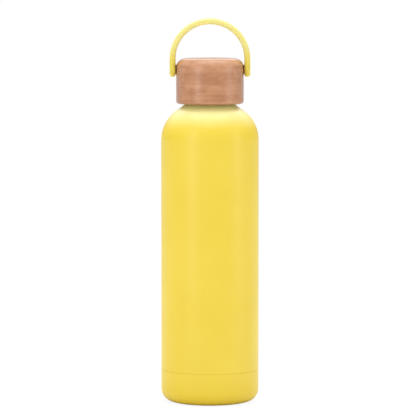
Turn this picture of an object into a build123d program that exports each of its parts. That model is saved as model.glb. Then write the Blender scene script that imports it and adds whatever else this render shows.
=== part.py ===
from build123d import *
import os
from math import cos, radians, sin, tan

# Kids' insulated water bottle: a double-wall steel bottle, a screw-on wooden cap and a swinging loop.
# Millimetres. +Z is up, the origin is the centre of the base, and the handle's pivot runs along X.

# ---- driving dimensions -------------------------------------------------------------------------
BODY_R = 35.0
BASE_CORNER_R = 9.0
SEAM_Z = 23.4
SHOULDER_Z = 188.0
SHOULDER_R = 26.45
SHOULDER_ANGLE = 55.1
SHEET = 0.5

NECK_R = 17.0
NECK_END_Z = 230.4
RIM_Z = 231.0

THREAD_PITCH = 4.5
THREAD_TURNS = 2
THREAD_DEPTH = 1.2
THREAD_Z = 219.0
THREAD_ROOT = 2.4
THREAD_CREST = 1.0
THREAD_FADE = 6.0
THREAD_SINK = 0.3

CAP_R = 24.2
CAP_BOTTOM_Z = 214.3
CAP_TOP_Z = 246.7
CAP_TOP_FILLET = 6.5
CAP_BOTTOM_FILLET = 1.8

PIVOT_Z = 238.8
LOOP_INNER_R = 24.6
LOOP_THICKNESS = 4.25
LOOP_TOP_Z = 275.3
LOOP_WIDTH = 10.6
LOOP_FILLET = 1.7

# ---- clearances ---------------------------------------------------------------------------------
FIXED_GAP = 0.03
RUNNING_GAP = 0.05

# ---- inner flask --------------------------------------------------------------------------------
FLASK_INSET = 4.5
FLASK_SHEET = 0.4
FLASK_NECK_R = 16.35
LIP_R = 17.15
LIP_ROUND = 0.22
FLASK_BOTTOM_Z = 8.0
FLASK_CORNER_R = 7.0
FLASK_JOIN_Z = 26.0
FOIL_THICKNESS = 0.15
FOIL_GAP = 0.15
FOIL_Z = (32.0, 184.0)

# ---- base ---------------------------------------------------------------------------------------
RECESS_R = 23.5
RECESS_DEPTH = 2.4
DIMPLE_R = 4.0
DIMPLE_DEPTH = 1.2
VACUUM_HOLE_R = 0.8
BEAD_R = 2.2
BEAD_T = 1.0
LAP_HEIGHT = 4.0
LAP_SHEET = 0.45
SEAM_ROUND = 0.35
DISC_SHEET = 0.4
DISC_Z = 1.0
DISC_RIM = 1.1
DISC_CORNER_R = 0.6
GETTER_X = 13.0
GETTER_R = 4.0
GETTER_HEIGHT = 2.0
GETTER_ROUND = 0.3
HOLDER_SHEET = 0.3
HOLDER_SLOT = 2.8

# ---- inside the cap -----------------------------------------------------------------------------
INSERT_R = 21.0
INSERT_Z = (215.3, 235.5)
INSERT_BORE_R = 18.5
INSERT_CHAMFER = 0.6
CAP_THREAD_ROOT = 2.6
CAP_THREAD_CREST = 1.4
CEILING_Z = 233.0
KEY_COUNT = 4
KEY_WIDTH = 2.5
KEY_DEPTH = 0.8
PLUG_R = 14.6
PLUG_WALL = 1.3
PLUG_CORNER_R = 0.8
PLUG_BOTTOM_Z = 218.9
FOAM_CHAMFER = 0.5
PLATE_SHEET = 0.3
PLATE_RIM = 3.4
GASKET_INNER_R = 15.1
GASKET_OUTER_R = 18.2
GASKET_ROUND = 0.5

# ---- handle pivots ------------------------------------------------------------------------------
SCREW_SHOULDER_R = 2.0
SCREW_THREAD_R = 1.5
SCREW_HEAD_R = 3.4
SCREW_HEAD_T = 1.1
SCREW_HEAD_ROUND = 0.5
SCREW_END_X = 15.5
HEX_KEY = 2.0
HEX_DEPTH = 0.9
COUNTERBORE_R = 3.7
COUNTERBORE_DEPTH = 1.5
BUSH_R = 2.8
WASHER_R = 3.3
SPOT_FACE_X = 23.9
BRASS_R = 2.6
BRASS_END_X = 14.5
GROOVE_COUNT = 4
GROOVE_PITCH = 1.9
GROOVE_WIDTH = 0.7
GROOVE_DEPTH = 0.25

os.makedirs("parts", exist_ok=True)


def finish(piece, name):
    """Label a finished piece and write it as its own STEP file."""
    piece.part.label = name
    export_step(piece.part, f"parts/{name}.step")


def sheet_section(outline, thickness):
    """The cross-section of sheet metal whose outside follows an outline; the metal lies on its left."""
    with BuildSketch(mode=Mode.PRIVATE) as section:
        with BuildLine():
            add(outline)
            offset(amount=thickness, side=Side.LEFT, kind=Kind.INTERSECTION)
        make_face()
    return section.sketch


def vessel_outline(inset, neck_r, bottom_z, top_z):
    """Outside line of a bottle's wall, set in from the body: straight, round shoulder, cone, neck."""
    wall_r = BODY_R - inset
    arc_r = SHOULDER_R - inset
    centre_r = BODY_R - SHOULDER_R
    angle = radians(SHOULDER_ANGLE)
    arc_end = (centre_r + arc_r * cos(angle), SHOULDER_Z + arc_r * sin(angle))
    cone_end = (neck_r, arc_end[1] + (arc_end[0] - neck_r) / tan(angle))
    with BuildLine() as outline:
        Line((wall_r, bottom_z), (wall_r, SHOULDER_Z))
        CenterArc((centre_r, SHOULDER_Z), arc_r, 0, SHOULDER_ANGLE)
        Polyline(arc_end, cone_end, (neck_r, top_z))
    return outline.line


def low_corner(outline):
    """The outermost of an outline's lowest points."""
    return outline.vertices().group_by(Axis.Y)[0].sort_by(Axis.X)[-1]


def pan_outline(radius, bottom_z, rim_z, corner_r):
    """Outside line of a round pan: flat bottom, rounded corner and straight rim."""
    with BuildLine() as outline:
        pan = Polyline((0, bottom_z), (radius, bottom_z), (radius, rim_z))
        fillet(low_corner(pan), corner_r)
    return outline.line


def pivot_plane(side, x):
    """A plane facing outward on the handle's pivot axis, x from the centre, on side +1 or -1."""
    return Plane(origin=(side * x, 0, PIVOT_Z), x_dir=(0, side, 0), z_dir=(side, 0, 0))


def thread_ridge(root_r, crest_r, start_z, root_width, crest_width):
    """A right-hand thread ridge from root_r to crest_r, its foot sunk a little into the wall."""
    sink_r = root_r - THREAD_SINK if crest_r > root_r else root_r + THREAD_SINK
    half_root = root_width / 2
    half_crest = crest_width / 2
    with BuildPart() as ridge:
        with BuildLine():
            Helix(THREAD_PITCH, THREAD_PITCH * THREAD_TURNS, root_r, center=(0, 0, start_z))
        with BuildSketch(Plane.XZ):
            with BuildLine():
                Polyline(
                    (sink_r, start_z - half_root),
                    (root_r, start_z - half_root),
                    (crest_r, start_z - half_crest),
                    (crest_r, start_z + half_crest),
                    (root_r, start_z + half_root),
                    (sink_r, start_z + half_root),
                    close=True,
                )
            make_face()
        sweep(is_frenet=True)
    return ridge.part


# ---- steel bottle -------------------------------------------------------------------------------
# The outer shell is one drawn tube: body, shoulder and neck. The thread stands on its neck, and its
# two ends rise out of the wall along a flat that touches the neck.
with BuildPart() as neck_thread:
    add(thread_ridge(NECK_R, NECK_R + THREAD_DEPTH, THREAD_Z, THREAD_ROOT, THREAD_CREST))
    for end_z, side in ((THREAD_Z, 1), (THREAD_Z + THREAD_PITCH * THREAD_TURNS, -1)):
        with Locations((NECK_R + THREAD_DEPTH, side * THREAD_FADE / 2, end_z)):
            Box(2 * THREAD_DEPTH, THREAD_FADE + 2, THREAD_PITCH - 1, mode=Mode.SUBTRACT)

with BuildPart() as outer_shell:
    with BuildSketch(Plane.XZ):
        add(sheet_section(vessel_outline(0, NECK_R, SEAM_Z, NECK_END_Z), SHEET))
    revolve(axis=Axis.Z)
    seam_rims = outer_shell.edges().filter_by(GeomType.CIRCLE).group_by(Axis.Z)[0]
    fillet(seam_rims.sort_by(SortBy.RADIUS)[-1], SEAM_ROUND)
    add(neck_thread.part)
finish(outer_shell, "outer_shell")

# The base cup closes the outside: rounded corner, foot ring, recess, dimple, and a lap in the tube.
plate_z = RECESS_DEPTH
dimple_z = RECESS_DEPTH + DIMPLE_DEPTH
lap_r = BODY_R - SHEET - FIXED_GAP
with BuildPart() as base_cup:
    with BuildSketch(Plane.XZ):
        with BuildLine():
            foot = Polyline(
                (0, dimple_z),
                (DIMPLE_R - DIMPLE_DEPTH, dimple_z),
                (DIMPLE_R, plate_z),
                (RECESS_R, plate_z),
                (RECESS_R, 0),
                (BODY_R, 0),
                (BODY_R, SEAM_Z),
            )
            fillet(low_corner(foot), BASE_CORNER_R)
            offset(amount=SHEET, side=Side.LEFT, kind=Kind.INTERSECTION)
        make_face()
        with BuildLine():
            Polyline(
                (BODY_R - SHEET / 2, SEAM_Z - LAP_HEIGHT / 2),
                (BODY_R - SHEET / 2, SEAM_Z - LAP_HEIGHT / 4),
                (lap_r, SEAM_Z - LAP_HEIGHT / 4),
                (lap_r, SEAM_Z + LAP_HEIGHT),
                (lap_r - LAP_SHEET, SEAM_Z + LAP_HEIGHT),
                (lap_r - LAP_SHEET, SEAM_Z - LAP_HEIGHT / 2),
                close=True,
            )
        make_face()
    revolve(axis=Axis.Z)
    seam_rims = base_cup.edges().filter_by(GeomType.CIRCLE).filter_by_position(
        Axis.Z, SEAM_Z - SEAM_ROUND, SEAM_Z + SEAM_ROUND
    )
    fillet(seam_rims.sort_by(SortBy.RADIUS)[-1], SEAM_ROUND)
    Hole(VACUUM_HOLE_R)
finish(base_cup, "base_cup")

# The glass bead fills the dimple over the vacuum hole and bulges down a little.
bead_z = dimple_z - FIXED_GAP
with BuildPart() as sealing_bead:
    with BuildSketch(Plane.XZ):
        with BuildLine():
            TangentArc((0, bead_z - BEAD_T), (BEAD_R, bead_z), tangent=(1, 0))
            Polyline((BEAD_R, bead_z), (0, bead_z), (0, bead_z - BEAD_T))
        make_face()
    revolve(axis=Axis.Z)
finish(sealing_bead, "sealing_bead")

# A bare steel plate with a turned-up rim covers the recess.
with BuildPart() as base_disc:
    with BuildSketch(Plane.XZ):
        disc_line = pan_outline(RECESS_R - FIXED_GAP, DISC_Z, DISC_Z + DISC_RIM, DISC_CORNER_R)
        add(sheet_section(disc_line, DISC_SHEET))
    revolve(axis=Axis.Z)
finish(base_disc, "base_disc")

# The getter lies in a small dish on the vacuum side of the base plate, beside the dimple. Two crossed
# slots leave the dish four fingers, which hold the pellet.
holder_plane = Plane((GETTER_X, 0, RECESS_DEPTH + SHEET + FIXED_GAP))
with BuildPart() as getter_holder:
    with BuildSketch(holder_plane):
        Circle(GETTER_R + FIXED_GAP + HOLDER_SHEET)
    extrude(amount=GETTER_HEIGHT)
    with BuildSketch(holder_plane.offset(HOLDER_SHEET)):
        Circle(GETTER_R + FIXED_GAP)
    extrude(amount=GETTER_HEIGHT, mode=Mode.SUBTRACT)
    with BuildSketch(holder_plane.offset(GETTER_HEIGHT / 2)):
        Rectangle(3 * GETTER_R, HOLDER_SLOT)
        Rectangle(HOLDER_SLOT, 3 * GETTER_R)
    extrude(amount=GETTER_HEIGHT, mode=Mode.SUBTRACT)
finish(getter_holder, "getter_holder")

with BuildPart() as getter_pellet:
    with BuildSketch(holder_plane.offset(HOLDER_SHEET + FIXED_GAP)):
        Circle(GETTER_R)
    extrude(amount=GETTER_HEIGHT)
    fillet(getter_pellet.edges().filter_by(GeomType.CIRCLE), GETTER_ROUND)
finish(getter_pellet, "getter_pellet")

# The inner flask ends in a lip that is rolled outward over the end of the shell's neck.
with BuildPart() as inner_flask:
    with BuildSketch(Plane.XZ):
        add(sheet_section(vessel_outline(FLASK_INSET, FLASK_NECK_R, FLASK_JOIN_Z, RIM_Z), FLASK_SHEET))
        with BuildLine():
            Polyline(
                (FLASK_NECK_R - FLASK_SHEET, NECK_END_Z + FIXED_GAP),
                (LIP_R, NECK_END_Z + FIXED_GAP),
                (LIP_R, RIM_Z),
                (FLASK_NECK_R - FLASK_SHEET, RIM_Z),
                close=True,
            )
        make_face()
    revolve(axis=Axis.Z)
    fillet(inner_flask.edges().filter_by(GeomType.CIRCLE).group_by(Axis.Z)[-1], LIP_ROUND)
finish(inner_flask, "inner_flask")

with BuildPart() as inner_flask_base:
    with BuildSketch(Plane.XZ):
        base_line = pan_outline(
            BODY_R - FLASK_INSET, FLASK_BOTTOM_Z, FLASK_JOIN_Z - FIXED_GAP, FLASK_CORNER_R
        )
        add(sheet_section(base_line, FLASK_SHEET))
    revolve(axis=Axis.Z)
finish(inner_flask_base, "inner_flask_base")

# A single wrap of reflective foil stands just off the flask's straight wall.
with BuildPart() as insulation_foil:
    foil_r = BODY_R - FLASK_INSET + FOIL_GAP
    with BuildSketch(Plane.XY.offset(FOIL_Z[0])):
        Circle(foil_r + FOIL_THICKNESS)
        Circle(foil_r, mode=Mode.SUBTRACT)
    extrude(amount=FOIL_Z[1] - FOIL_Z[0])
finish(insulation_foil, "insulation_foil")

# ---- gasket on the drinking lip -----------------------------------------------------------------
with BuildPart() as seal_ring:
    with BuildSketch(Plane.XZ):
        with Locations(((GASKET_INNER_R + GASKET_OUTER_R) / 2, (RIM_Z + CEILING_Z) / 2)):
            RectangleRounded(
                GASKET_OUTER_R - GASKET_INNER_R, CEILING_Z - RIM_Z - 2 * FIXED_GAP, GASKET_ROUND
            )
    revolve(axis=Axis.Z)
finish(seal_ring, "seal_ring")

# ---- cap ----------------------------------------------------------------------------------------
# Solid turned wood with a keyed pocket for its liner, a spot face for each washer and a blind hole
# for each threaded insert.
pocket_r = INSERT_R + FIXED_GAP
pocket_top_z = INSERT_Z[1] + FIXED_GAP
with BuildPart() as wood_cap:
    with BuildSketch(Plane.XY.offset(CAP_BOTTOM_Z)):
        Circle(CAP_R)
    extrude(amount=CAP_TOP_Z - CAP_BOTTOM_Z)
    rims = wood_cap.edges().filter_by(GeomType.CIRCLE).sort_by(Axis.Z)
    fillet(rims[-1], CAP_TOP_FILLET)
    fillet(rims[0], CAP_BOTTOM_FILLET)
    with BuildSketch(Plane.XY.offset(CAP_BOTTOM_Z)):
        Circle(pocket_r)
        with PolarLocations(pocket_r, KEY_COUNT, start_angle=45):
            Rectangle(2 * (KEY_DEPTH + FIXED_GAP), KEY_WIDTH + 2 * FIXED_GAP)
    extrude(amount=pocket_top_z - CAP_BOTTOM_Z, mode=Mode.SUBTRACT)
    for side in (1, -1):
        with BuildSketch(pivot_plane(side, SPOT_FACE_X)):
            Circle(WASHER_R + FIXED_GAP)
        extrude(amount=CAP_R - SPOT_FACE_X + 1, mode=Mode.SUBTRACT)
        with BuildSketch(pivot_plane(side, BRASS_END_X - FIXED_GAP)):
            Circle(BRASS_R + FIXED_GAP)
        extrude(amount=CAP_R - BRASS_END_X, mode=Mode.SUBTRACT)
finish(wood_cap, "wood_cap")

# The plastic liner: a threaded cup with four keys along its outside.
bore_thread = thread_ridge(
    INSERT_BORE_R,
    INSERT_BORE_R - THREAD_DEPTH,
    THREAD_Z - THREAD_PITCH / 2,
    CAP_THREAD_ROOT,
    CAP_THREAD_CREST,
)
with BuildPart() as thread_insert:
    with BuildSketch(Plane.XY.offset(INSERT_Z[0])):
        Circle(INSERT_R)
        with PolarLocations(INSERT_R, KEY_COUNT, start_angle=45):
            Rectangle(2 * KEY_DEPTH, KEY_WIDTH)
    extrude(amount=INSERT_Z[1] - INSERT_Z[0])
    with BuildSketch(Plane.XY.offset(INSERT_Z[0])):
        Circle(INSERT_BORE_R)
    extrude(amount=CEILING_Z - INSERT_Z[0], mode=Mode.SUBTRACT)
    mouth_rims = thread_insert.edges().filter_by(GeomType.CIRCLE).group_by(Axis.Z)[0]
    chamfer(mouth_rims.sort_by(SortBy.RADIUS)[0], INSERT_CHAMFER)
    add(bore_thread)
finish(thread_insert, "thread_insert")

# The hollow plug is welded to the liner's ceiling and reaches down into the neck.
with BuildPart() as stopper_cup:
    with BuildSketch(Plane.XY.offset(PLUG_BOTTOM_Z)):
        Circle(PLUG_R)
    extrude(amount=CEILING_Z - PLUG_BOTTOM_Z)
    fillet(stopper_cup.edges().group_by(Axis.Z)[0], PLUG_CORNER_R)
    with BuildSketch(Plane.XY.offset(PLUG_BOTTOM_Z + PLUG_WALL)):
        Circle(PLUG_R - PLUG_WALL)
    extrude(amount=CEILING_Z, mode=Mode.SUBTRACT)
finish(stopper_cup, "stopper_cup")

with BuildPart() as foam_insulator:
    with BuildSketch(Plane.XY.offset(PLUG_BOTTOM_Z + PLUG_WALL + FIXED_GAP)):
        Circle(PLUG_R - PLUG_WALL - FIXED_GAP)
    extrude(amount=CEILING_Z - PLUG_BOTTOM_Z - PLUG_WALL - 2 * FIXED_GAP)
    chamfer(foam_insulator.edges().filter_by(GeomType.CIRCLE), FOAM_CHAMFER)
finish(foam_insulator, "foam_insulator")

# A thin steel dish wraps the bottom of the plug, so only steel and silicone face the drink.
plate_outer_r = PLUG_R + FIXED_GAP + PLATE_SHEET
plate_bottom_z = PLUG_BOTTOM_Z - FIXED_GAP - PLATE_SHEET
with BuildPart() as stopper_plate:
    with BuildSketch(Plane.XZ):
        dish_line = pan_outline(
            plate_outer_r, plate_bottom_z, plate_bottom_z + PLATE_RIM, PLUG_CORNER_R + PLATE_SHEET
        )
        add(sheet_section(dish_line, PLATE_SHEET))
    revolve(axis=Axis.Z)
finish(stopper_plate, "stopper_plate")

# ---- handle pivots, the same on both sides ------------------------------------------------------
# From the wood outward: threaded brass insert, washer, then the screw's shoulder inside the bush.
leg_inner_x = LOOP_INNER_R
leg_outer_x = LOOP_INNER_R + LOOP_THICKNESS
seat_x = leg_outer_x - COUNTERBORE_DEPTH
washer_outer_x = leg_inner_x - RUNNING_GAP

with BuildPart() as brass_inserts:
    for side in (1, -1):
        with BuildSketch(pivot_plane(side, BRASS_END_X)):
            Circle(BRASS_R)
            Circle(SCREW_THREAD_R + FIXED_GAP, mode=Mode.SUBTRACT)
        extrude(amount=SPOT_FACE_X - BRASS_END_X)
        for groove in range(GROOVE_COUNT):
            with BuildSketch(pivot_plane(side, BRASS_END_X + GROOVE_PITCH * (groove + 0.8))):
                Circle(BRASS_R + 1)
                Circle(BRASS_R - GROOVE_DEPTH, mode=Mode.SUBTRACT)
            extrude(amount=GROOVE_WIDTH, mode=Mode.SUBTRACT)
finish(brass_inserts, "brass_inserts")

with BuildPart() as pivot_washers:
    for side in (1, -1):
        with BuildSketch(pivot_plane(side, SPOT_FACE_X)):
            Circle(WASHER_R)
            Circle(SCREW_THREAD_R + FIXED_GAP, mode=Mode.SUBTRACT)
        extrude(amount=washer_outer_x - SPOT_FACE_X)
finish(pivot_washers, "pivot_washers")

with BuildPart() as pivot_screws:
    head_x = seat_x + RUNNING_GAP
    for side in (1, -1):
        with BuildSketch(pivot_plane(side, SCREW_END_X)):
            Circle(SCREW_THREAD_R)
        extrude(amount=washer_outer_x - SCREW_END_X)
        with BuildSketch(pivot_plane(side, washer_outer_x)):
            Circle(SCREW_SHOULDER_R)
        extrude(amount=head_x - washer_outer_x)
        with BuildSketch(pivot_plane(side, head_x)):
            Circle(SCREW_HEAD_R)
        extrude(amount=SCREW_HEAD_T)
        with BuildSketch(pivot_plane(side, head_x + SCREW_HEAD_T)):
            RegularPolygon(HEX_KEY / 2, 6, major_radius=False)
        extrude(amount=-HEX_DEPTH, mode=Mode.SUBTRACT)
    head_rims = pivot_screws.edges().filter_by(GeomType.CIRCLE).group_by(SortBy.RADIUS)[-1].sort_by(Axis.X)
    fillet([head_rims[0], head_rims[-1]], SCREW_HEAD_ROUND)
finish(pivot_screws, "pivot_screws")

with BuildPart() as eye_bushes:
    for side in (1, -1):
        with BuildSketch(pivot_plane(side, leg_inner_x + FIXED_GAP)):
            Circle(BUSH_R)
            Circle(SCREW_SHOULDER_R + RUNNING_GAP, mode=Mode.SUBTRACT)
        extrude(amount=seat_x - leg_inner_x - 2 * FIXED_GAP)
finish(eye_bushes, "eye_bushes")

# ---- carry loop ---------------------------------------------------------------------------------
# A half-round strap with straight legs; each leg ends in a round eye about the pivot.
loop_outer_r = LOOP_INNER_R + LOOP_THICKNESS
loop_centre_z = LOOP_TOP_Z - loop_outer_r
with BuildPart() as carry_handle:
    with BuildSketch(Plane.XZ):
        with Locations((0, loop_centre_z)):
            Circle(loop_outer_r)
            Circle(LOOP_INNER_R, mode=Mode.SUBTRACT)
            Rectangle(3 * BODY_R, 2 * BODY_R, align=(Align.CENTER, Align.MAX), mode=Mode.SUBTRACT)
        for side in (1, -1):
            with Locations((side * (LOOP_INNER_R + LOOP_THICKNESS / 2), loop_centre_z)):
                Rectangle(
                    LOOP_THICKNESS,
                    loop_centre_z - PIVOT_Z + LOOP_WIDTH / 2,
                    align=(Align.CENTER, Align.MAX),
                )
    extrude(amount=LOOP_WIDTH / 2, both=True)
    with BuildSketch(Plane.YZ):
        with Locations((0, PIVOT_Z)):
            Circle(LOOP_WIDTH / 2)
            Rectangle(LOOP_WIDTH, LOOP_TOP_Z, align=(Align.CENTER, Align.MIN))
    extrude(amount=2 * BODY_R, both=True, mode=Mode.INTERSECT)
    fillet(carry_handle.edges().filter_by(Axis.Y, reverse=True), LOOP_FILLET)
    for side in (1, -1):
        with BuildSketch(pivot_plane(side, leg_inner_x - 1)):
            Circle(BUSH_R + FIXED_GAP)
        extrude(amount=LOOP_THICKNESS + 2, mode=Mode.SUBTRACT)
        with BuildSketch(pivot_plane(side, seat_x)):
            Circle(COUNTERBORE_R)
        extrude(amount=COUNTERBORE_DEPTH + 1, mode=Mode.SUBTRACT)
finish(carry_handle, "carry_handle")
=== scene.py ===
import bpy
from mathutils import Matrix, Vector

# The looks of a kids' insulated water bottle: finishes for its parts, a white studio and a camera.
# Places are in metres in the parts' own frame: +Z up, the bottle's axis on Z, the handle's pivot along X
# and the front facing -Y.

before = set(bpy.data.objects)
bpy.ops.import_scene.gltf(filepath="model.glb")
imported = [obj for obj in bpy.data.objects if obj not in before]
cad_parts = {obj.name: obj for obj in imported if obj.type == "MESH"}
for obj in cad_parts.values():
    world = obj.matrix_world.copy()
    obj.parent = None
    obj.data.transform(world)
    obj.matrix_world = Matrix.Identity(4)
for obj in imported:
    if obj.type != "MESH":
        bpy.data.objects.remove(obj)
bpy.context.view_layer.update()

MM = 0.001


# ---- node helpers -------------------------------------------------------------------------------
class Tree:
    """The node tree of a new material or world, with short calls for the nodes that they share."""

    def __init__(self, name, world=False):
        self.owner = (bpy.data.worlds if world else bpy.data.materials).new(name)
        self.owner.use_nodes = True
        self.tree = self.owner.node_tree
        self.shader = self.tree.nodes["Background" if world else "Principled BSDF"]

    def add(self, kind, inputs=None, **props):
        """Add a node. A socket given as an input is linked, anything else is set as its value."""
        made = self.tree.nodes.new("ShaderNode" + kind)
        for key, value in props.items():
            setattr(made, key, value)
        for key, value in (inputs or {}).items():
            self.give(made.inputs[key], value)
        return made

    def give(self, socket, value):
        if isinstance(value, bpy.types.NodeSocket):
            self.tree.links.new(value, socket)
        else:
            socket.default_value = value

    def set(self, **inputs):
        """Set the shader's inputs; an underscore in a name stands for a space."""
        for key, value in inputs.items():
            self.give(self.shader.inputs[key.replace("_", " ")], value)

    def place(self, scale=(1, 1, 1)):
        """The point's coordinates on the bottle at rest, in millimetres, times a scale along each axis."""
        where = self.add("TexCoord").outputs["Object"]
        sizes = [s / MM for s in scale]
        return self.add("Mapping", {"Vector": where, "Scale": sizes}).outputs["Vector"]

    def axes(self):
        """X, Y and Z on the bottle at rest, in millimetres, as separate values."""
        return self.add("SeparateXYZ", {"Vector": self.place()}).outputs

    def facing_up(self):
        """How far the surface faces up: 1 straight up, 0 level, -1 straight down."""
        normal = self.add("NewGeometry").outputs["Normal"]
        return self.add("SeparateXYZ", {"Vector": normal}).outputs["Z"]

    def noise(self, scale, detail=3.0, rough=0.5, stretch=(1, 1, 1), offset=0.0):
        """Noise with scale waves per millimetre, fewer along an axis whose stretch is under 1.

        The offset moves it to another sample.
        """
        vector = self.place(stretch)
        if offset:
            vector = self.add("VectorMath", {0: vector, 1: (offset,) * 3}, operation="ADD").outputs[0]
        return self.add(
            "TexNoise",
            {"Vector": vector, "Scale": scale, "Detail": detail, "Roughness": rough},
        ).outputs["Fac"]

    def times(self, a, b):
        return self.add("Math", {0: a, 1: b}, operation="MULTIPLY").outputs[0]

    def plus(self, a, b):
        return self.add("Math", {0: a, 1: b}, operation="ADD").outputs[0]

    def remap(self, value, low, high, to_low=0.0, to_high=1.0):
        """Value from low..high to to_low..to_high with a soft start and end, held at both ends."""
        return self.add(
            "MapRange",
            {"Value": value, "From Min": low, "From Max": high, "To Min": to_low, "To Max": to_high},
            interpolation_type="SMOOTHSTEP",
        ).outputs["Result"]

    def lerp(self, share, a, b):
        """Number a to number b by a share of 0 to 1."""
        return self.add("Mix", {"Factor": share, "A": a, "B": b}, data_type="FLOAT").outputs["Result"]

    def blend(self, share, a, b):
        """Colour a to colour b by a share of 0 to 1."""
        made = self.add("Mix", data_type="RGBA")
        self.give(made.inputs["Factor"], share)
        self.give(made.inputs["A"], a if isinstance(a, bpy.types.NodeSocket) else (*a, 1))
        self.give(made.inputs["B"], b if isinstance(b, bpy.types.NodeSocket) else (*b, 1))
        return made.outputs["Result"]

    def bump(self, height, depth_mm, normal=None):
        """A bump from a height of 0 to 1 over a depth in millimetres."""
        inputs = {"Height": height, "Distance": depth_mm * MM, "Strength": 1.0}
        if normal is not None:
            inputs["Normal"] = normal
        return self.add("Bump", inputs).outputs["Normal"]


def darker(colour, share):
    return tuple(share * c for c in colour)


# ---- finishes -----------------------------------------------------------------------------------
# Colours are linear RGB. Heights, named with a Z, are in millimetres above the bottle's foot.
STEEL = (0.62, 0.61, 0.59)

COAT_YELLOW = (0.900, 0.670, 0.048)
COAT_PALE = (0.920, 0.695, 0.060)
COAT_DEEP = (0.870, 0.620, 0.012)
# Painted highlight: the light, washed-out yellow that the up-facing shoulder is painted towards.
COAT_PAINTED_HIGHLIGHT = (0.980, 0.900, 0.390)
COAT_END_Z = 214.8
COAT_END_BLUR = 0.4
# Painted shade: below this height the coat is painted darker towards the foot.
PAINTED_SHADE_BELOW_Z = 30.0
# Heights over which the painted shoulder highlight comes in.
PAINTED_HIGHLIGHT_Z = (100.0, 150.0)
RUBBED_Z = 0.9


def powder_coat():
    """Satin yellow powder coat: fine orange peel and clouding, with a painted highlight that lightens the
    shoulder where it faces up.

    It is rubbed at the foot, has painted shade that darkens it low down, and stops at the bare steel neck
    inside the lid.
    """
    t = Tree("powder_coat")
    height = t.axes()["Z"]
    colour = t.blend(t.remap(t.noise(0.02, detail=2.0), 0.35, 0.65), COAT_YELLOW, COAT_PALE)
    specks = t.remap(t.noise(2.2, detail=1.0), 0.62, 0.75, 0.0, 0.25)
    colour = t.blend(specks, colour, COAT_DEEP)
    # Painted highlight: the shoulder is painted lighter where it faces up.
    shoulder = t.times(t.remap(t.facing_up(), 0.30, 0.98), t.remap(height, *PAINTED_HIGHLIGHT_Z))
    colour = t.blend(shoulder, colour, COAT_PAINTED_HIGHLIGHT)
    # Painted shade: darker and deeper in tone towards the foot.
    colour = t.blend(t.remap(height, PAINTED_SHADE_BELOW_Z, 0.0, 0.0, 0.7), colour, COAT_DEEP)
    rubbed = t.times(t.remap(height, RUBBED_Z, 0.0, 0.0, 0.5), t.remap(t.noise(0.35), 0.45, 0.62))
    colour = t.blend(rubbed, colour, COAT_DEEP)
    bare = t.remap(height, COAT_END_Z, COAT_END_Z + COAT_END_BLUR)
    orange_peel = t.bump(t.noise(0.9, detail=2.0), 0.015)
    t.set(
        Base_Color=t.blend(bare, colour, STEEL),
        Metallic=bare,
        Roughness=t.remap(t.noise(0.5), 0.3, 0.7, 0.33, 0.39),
        Specular_IOR_Level=0.6,
        Normal=t.bump(t.noise(4.0, detail=2.0), 0.004, orange_peel),
    )
    return t.owner


WOOD_LIGHT = (0.640, 0.310, 0.158)
WOOD_MID = (0.485, 0.202, 0.088)
WOOD_DARK = (0.270, 0.095, 0.036)
# Painted shade along the cap's lower rim, over the shoulder, between these heights.
PAINTED_RIM_SHADE_Z = (215.6, 214.4)


def cap_wood():
    """Satin-varnished wood, its fibres along X: faint straight bands, fine streaks and short dark flecks.

    It has painted shade where it turns away from the eye and along its lower rim.
    """
    t = Tree("cap_wood")
    broad = t.noise(0.13, detail=2.0, stretch=(0.08, 0.08, 1.0), offset=5.0)
    bands = t.noise(0.35, detail=4.0, stretch=(0.04, 0.05, 1.0))
    blotches = t.noise(0.16, detail=3.0, stretch=(0.5, 0.8, 1.0), offset=11.0)
    grain = t.plus(t.remap(broad, 0.38, 0.62, 0.0, 0.35), t.remap(bands, 0.36, 0.64, 0.0, 0.35))
    grain = t.plus(grain, t.remap(blotches, 0.40, 0.65, 0.0, 0.45))
    colour = t.blend(grain, WOOD_LIGHT, WOOD_MID)

    fibres = t.noise(2.2, detail=4.0, rough=0.6, stretch=(0.06, 0.3, 1.0))
    colour = t.blend(t.remap(fibres, 0.50, 0.75, 0.0, 0.28), colour, WOOD_DARK)
    flecks = t.noise(1.6, detail=1.0, stretch=(0.3, 0.5, 1.0), offset=37.0)
    colour = t.blend(t.remap(flecks, 0.66, 0.74, 0.0, 0.40), colour, WOOD_DARK)

    # Painted shade: darker where the surface turns away from the eye, less where it faces up.
    facing = t.add("LayerWeight", {"Blend": 0.5}).outputs["Facing"]
    painted_edge_shade = t.times(t.remap(facing, 0.25, 0.75, 0.0, 0.36), t.remap(t.facing_up(), 0.7, 0.1))
    colour = t.blend(painted_edge_shade, colour, WOOD_DARK)
    # Painted shade along the lower rim of the cap.
    colour = t.blend(t.remap(t.axes()["Z"], *PAINTED_RIM_SHADE_Z, 0.0, 0.75), colour, WOOD_DARK)

    pores = t.remap(flecks, 0.62, 0.75, 1.0, 0.0)
    t.set(
        Base_Color=colour,
        Roughness=t.remap(fibres, 0.3, 0.7, 0.50, 0.60),
        Specular_IOR_Level=0.3,
        Coat_Weight=1.0,
        Coat_Roughness=0.27,
        Normal=t.bump(pores, 0.010, t.bump(fibres, 0.012)),
    )
    return t.owner


HANDLE_YELLOW = (0.895, 0.735, 0.085)
# Painted highlight: the lighter colour painted over the top of the carry loop, between these heights.
HANDLE_PAINTED_HIGHLIGHT = (0.915, 0.815, 0.250)
HANDLE_HIGHLIGHT_Z = (242.0, 258.0)
GASKET_WHITE = (0.80, 0.80, 0.77)


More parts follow.
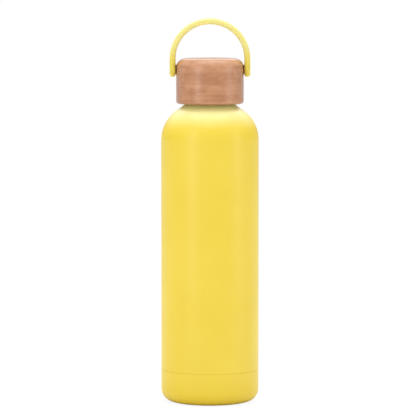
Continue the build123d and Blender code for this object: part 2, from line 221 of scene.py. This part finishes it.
def soft_touch(name, colour, painted_top_highlight=None):
    """Satin silicone with a fine moulded grain and a little light inside.

    The painted top highlight, if given, is the lighter colour painted over the top of the carry loop.
    """
    t = Tree(name)
    shade = t.blend(t.remap(t.noise(0.05), 0.3, 0.7), colour, darker(colour, 0.94))
    if painted_top_highlight:
        # Painted highlight: lighter towards the top of the loop.
        shade = t.blend(t.remap(t.axes()["Z"], *HANDLE_HIGHLIGHT_Z), shade, painted_top_highlight)
    t.set(
        Base_Color=shade,
        Roughness=t.remap(t.noise(0.6), 0.3, 0.7, 0.40, 0.48),
        Specular_IOR_Level=0.8,
        Subsurface_Weight=0.15,
        Subsurface_Radius=(1.0, 0.7, 0.25),
        Subsurface_Scale=0.002,
        Normal=t.bump(t.noise(3.0), 0.003),
    )
    return t.owner


PLASTIC_WHITE = (0.78, 0.78, 0.75)
BUSH_AMBER = (0.72, 0.56, 0.16)
# Very dark brown: partly the washers' own tone, partly painted shade for the narrow gap at each pivot.
WASHER_BROWN_AND_GAP_SHADE = (0.045, 0.022, 0.012)


def moulded(name, colour, rough=0.42):
    """Injection-moulded plastic: a fine even texture and faint flow clouding."""
    t = Tree(name)
    shade = t.blend(t.remap(t.noise(0.08), 0.35, 0.65), colour, darker(colour, 0.93))
    t.set(
        Base_Color=shade,
        Roughness=t.remap(t.noise(1.2), 0.3, 0.7, rough - 0.05, rough + 0.08),
        Normal=t.bump(t.noise(2.5), 0.006),
    )
    return t.owner


SCREW_STEEL = (0.55, 0.55, 0.54)
BRASS = (0.70, 0.47, 0.18)
FOIL = (0.85, 0.85, 0.86)
GETTER_GREY = (0.10, 0.10, 0.11)
# Brushing directions: noise is drawn out along the axis whose stretch is under 1.
ALONG_X = (0.1, 1, 1)
UP_THE_WALL = (1, 1, 0.02)
CREASED = (1, 1, 0.2)
EVEN = (1, 1, 1)


def brushed(name, colour, stretch, rough=0.28):
    """Brushed metal; the scratches run along the axis whose stretch is under 1."""
    t = Tree(name)
    lines = t.noise(3.0, detail=4.0, stretch=stretch)
    shade = t.blend(t.remap(lines, 0.3, 0.7), colour, darker(colour, 0.86))
    t.set(
        Base_Color=shade,
        Metallic=1.0,
        Roughness=t.remap(lines, 0.3, 0.7, rough - 0.06, rough + 0.10),
        Normal=t.bump(lines, 0.006),
    )
    return t.owner


def spun(name, colour, rough=0.30):
    """Metal spun on a lathe: rings about the bottle's axis."""
    t = Tree(name)
    x, y, z = t.axes()
    squares = t.plus(t.times(x, x), t.times(y, y))
    radius = t.add("Math", {0: squares}, operation="SQRT").outputs[0]
    ring = t.add("CombineXYZ", {"X": radius, "Y": t.times(z, 0.3)}).outputs[0]
    rings = t.add("TexNoise", {"Vector": ring, "Scale": 3.0, "Detail": 4.0}).outputs["Fac"]
    shade = t.blend(t.remap(rings, 0.3, 0.7), colour, darker(colour, 0.84))
    t.set(
        Base_Color=shade,
        Metallic=1.0,
        Roughness=t.remap(rings, 0.3, 0.7, rough - 0.06, rough + 0.10),
        Normal=t.bump(rings, 0.008),
    )
    return t.owner


FOAM_CREAM = (0.82, 0.80, 0.72)


def cellular(name, colour):
    """Closed-cell foam: packed little cells."""
    t = Tree(name)
    cells = t.add("TexVoronoi", {"Vector": t.place(), "Scale": 1.6}).outputs["Distance"]
    shade = t.blend(t.remap(cells, 0.1, 0.6), colour, darker(colour, 0.82))
    t.set(Base_Color=shade, Roughness=0.85, Normal=t.bump(cells, 0.15))
    return t.owner


GLASS_DARK = (0.10, 0.07, 0.05)
GLASS_BROWN = (0.20, 0.15, 0.11)


def fused_glass():
    """The dark glass bead over the vacuum hole."""
    t = Tree("fused_glass")
    shade = t.blend(t.remap(t.noise(1.5), 0.4, 0.6), GLASS_DARK, GLASS_BROWN)
    t.set(Base_Color=shade, Roughness=0.12, Coat_Weight=0.6, Normal=t.bump(t.noise(1.0), 0.02))
    return t.owner


# ---- stage --------------------------------------------------------------------------------------
LIGHTS_AIM = (0, 0, 0.18)
# Each light: name, place, width and height in metres, watts.
SOFT_LIGHTS = (
    ("top_light", (0.0, 0.05, 1.78), (1.6, 0.9), 11.5),
    ("front_light", (0.0, -0.92, 1.49), (0.9, 0.5), 1.3),
    ("left_light", (-1.06, -1.18, 0.40), (0.55, 1.3), 5.0),
    ("right_light", (1.48, -0.57, 0.40), (0.55, 1.3), 4.0),
)
# The glow of the room by direction: axis, side of it, brightness, and the sines of the elevations at
# which it starts and is full.
GLOWS = (
    ("Y", -1, 0.62, -0.05, 0.15),
    ("Y", 1, 2.10, 0.20, 0.55),
    ("Y", 1, 0.50, -0.05, 0.05),
    ("X", -1, 0.84, 0.10, 0.45),
    ("X", 1, 0.70, 0.10, 0.45),
)
# Between these sines of the elevation, one even glow overhead takes over from the others.
OVERHEAD_FROM = (0.55, 0.92)
OVERHEAD_GLOW = 1.08
# Keeps the division from zero straight up and straight down.
LEAST_SIDEWAYS = 0.0001

FLOOR_RADIUS = 40.0
FLOOR_BOUNCE = 0.75
# The camera sees mostly an even glow, and a small share of real shading that holds the faint shadow.
FLOOR_SHOWN_GLOW = 0.90
FLOOR_SHOWN_SHADE = 0.10


def soft_light(name, at, size, power):
    """A rectangular soft light of the given size in metres, facing the bottle."""
    data = bpy.data.lights.new(name, "AREA")
    data.shape = "RECTANGLE"
    data.size, data.size_y = size
    data.energy = power
    lamp = bpy.data.objects.new(name, data)
    lamp.location = at
    lamp.rotation_euler = (Vector(LIGHTS_AIM) - Vector(at)).to_track_quat("-Z", "Y").to_euler()
    bpy.context.scene.collection.objects.link(lamp)


def surround():
    """A world that is white to the camera and lights the bottle by the glows above."""
    w = Tree("surround", world=True)
    way = w.add("SeparateXYZ", {"Vector": w.add("TexCoord").outputs["Generated"]}).outputs
    sideways = w.plus(w.times(way["X"], way["X"]), w.times(way["Y"], way["Y"]))
    total = 0.0
    for axis, side, brightness, starts, full in GLOWS:
        towards = w.add("Math", {0: w.times(way[axis], side), 1: 0.0}, operation="MAXIMUM").outputs[0]
        rise = w.remap(way["Z"], starts, full, 0.0, brightness)
        total = w.plus(w.times(w.times(towards, towards), rise), total)
    sideways = w.add("Math", {0: sideways, 1: LEAST_SIDEWAYS}, operation="MAXIMUM").outputs[0]
    around = w.add("Math", {0: total, 1: sideways}, operation="DIVIDE").outputs[0]
    glow = w.lerp(w.remap(way["Z"], *OVERHEAD_FROM), around, OVERHEAD_GLOW)
    seen = w.add("LightPath").outputs["Is Camera Ray"]
    w.set(Color=(1, 1, 1, 1), Strength=w.lerp(seen, glow, 1.0))
    return w.owner


def pale_floor():
    """A wide floor that bounces light, and looks nearly white with a very faint contact shadow."""
    bpy.ops.mesh.primitive_circle_add(vertices=96, radius=FLOOR_RADIUS, fill_type="NGON")
    floor = bpy.context.object
    floor.name = "floor"
    t = Tree("pale_floor")
    seen = t.add("LightPath").outputs["Is Camera Ray"]
    t.set(
        Base_Color=t.blend(seen, (FLOOR_BOUNCE,) * 3, (FLOOR_SHOWN_SHADE,) * 3),
        Roughness=0.9,
        Specular_IOR_Level=0.0,
        Emission_Color=(1, 1, 1, 1),
        Emission_Strength=t.times(seen, FLOOR_SHOWN_GLOW),
    )
    floor.data.materials.append(t.owner)


def studio():
    bpy.context.scene.world = surround()
    bpy.context.scene.view_settings.view_transform = "Standard"
    pale_floor()
    for light in SOFT_LIGHTS:
        soft_light(*light)


CAMERA_AT = Vector((-0.0014, -2.24, 0.3331))
CAMERA_AIM = Vector((-0.0014, 0.0, 0.13926))
FIELD_WIDTH = 0.2987
CAMERA_REACH = 100.0


def camera():
    """A long lens a little over two metres in front, just above the bottle, tilted down.

    The picture is FIELD_WIDTH metres wide at the point it aims at, and the floor stays within reach.
    """
    data = bpy.data.cameras.new("camera")
    cam = bpy.data.objects.new("camera", data)
    cam.location = CAMERA_AT
    sight = CAMERA_AIM - CAMERA_AT
    cam.rotation_euler = sight.to_track_quat("-Z", "Y").to_euler()
    data.lens = data.sensor_width * sight.length / FIELD_WIDTH
    data.clip_end = CAMERA_REACH
    bpy.context.scene.collection.objects.link(cam)
    bpy.context.scene.camera = cam


# ---- put the finishes on the parts --------------------------------------------------------------
def paint(finish, *nodes):
    """Give the named parts one finish, in place of the colour they came with."""
    for name in nodes:
        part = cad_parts[name]
        part.data.materials.clear()
        part.data.materials.append(finish)


paint(powder_coat(), "outer_shell", "base_cup")
paint(cap_wood(), "wood_cap")
paint(soft_touch("handle_silicone", HANDLE_YELLOW, HANDLE_PAINTED_HIGHLIGHT), "carry_handle")
paint(soft_touch("gasket_silicone", GASKET_WHITE), "seal_ring")
paint(moulded("white_plastic", PLASTIC_WHITE), "thread_insert", "stopper_cup")
paint(moulded("bush_plastic", BUSH_AMBER), "eye_bushes")
paint(moulded("washer_fibre", WASHER_BROWN_AND_GAP_SHADE, rough=0.6), "pivot_washers")
paint(spun("spun_steel", STEEL), "base_disc", "stopper_plate")
paint(brushed("liner_steel", STEEL, UP_THE_WALL), "inner_flask", "inner_flask_base", "getter_holder")
paint(brushed("screw_steel", SCREW_STEEL, ALONG_X, rough=0.25), "pivot_screws")
paint(brushed("turned_brass", BRASS, ALONG_X), "brass_inserts")
paint(brushed("foil", FOIL, CREASED, rough=0.22), "insulation_foil")
paint(brushed("getter_metal", GETTER_GREY, EVEN, rough=0.6), "getter_pellet")
paint(cellular("plug_foam", FOAM_CREAM), "foam_insulator")
paint(fused_glass(), "sealing_bead")

studio()
camera()
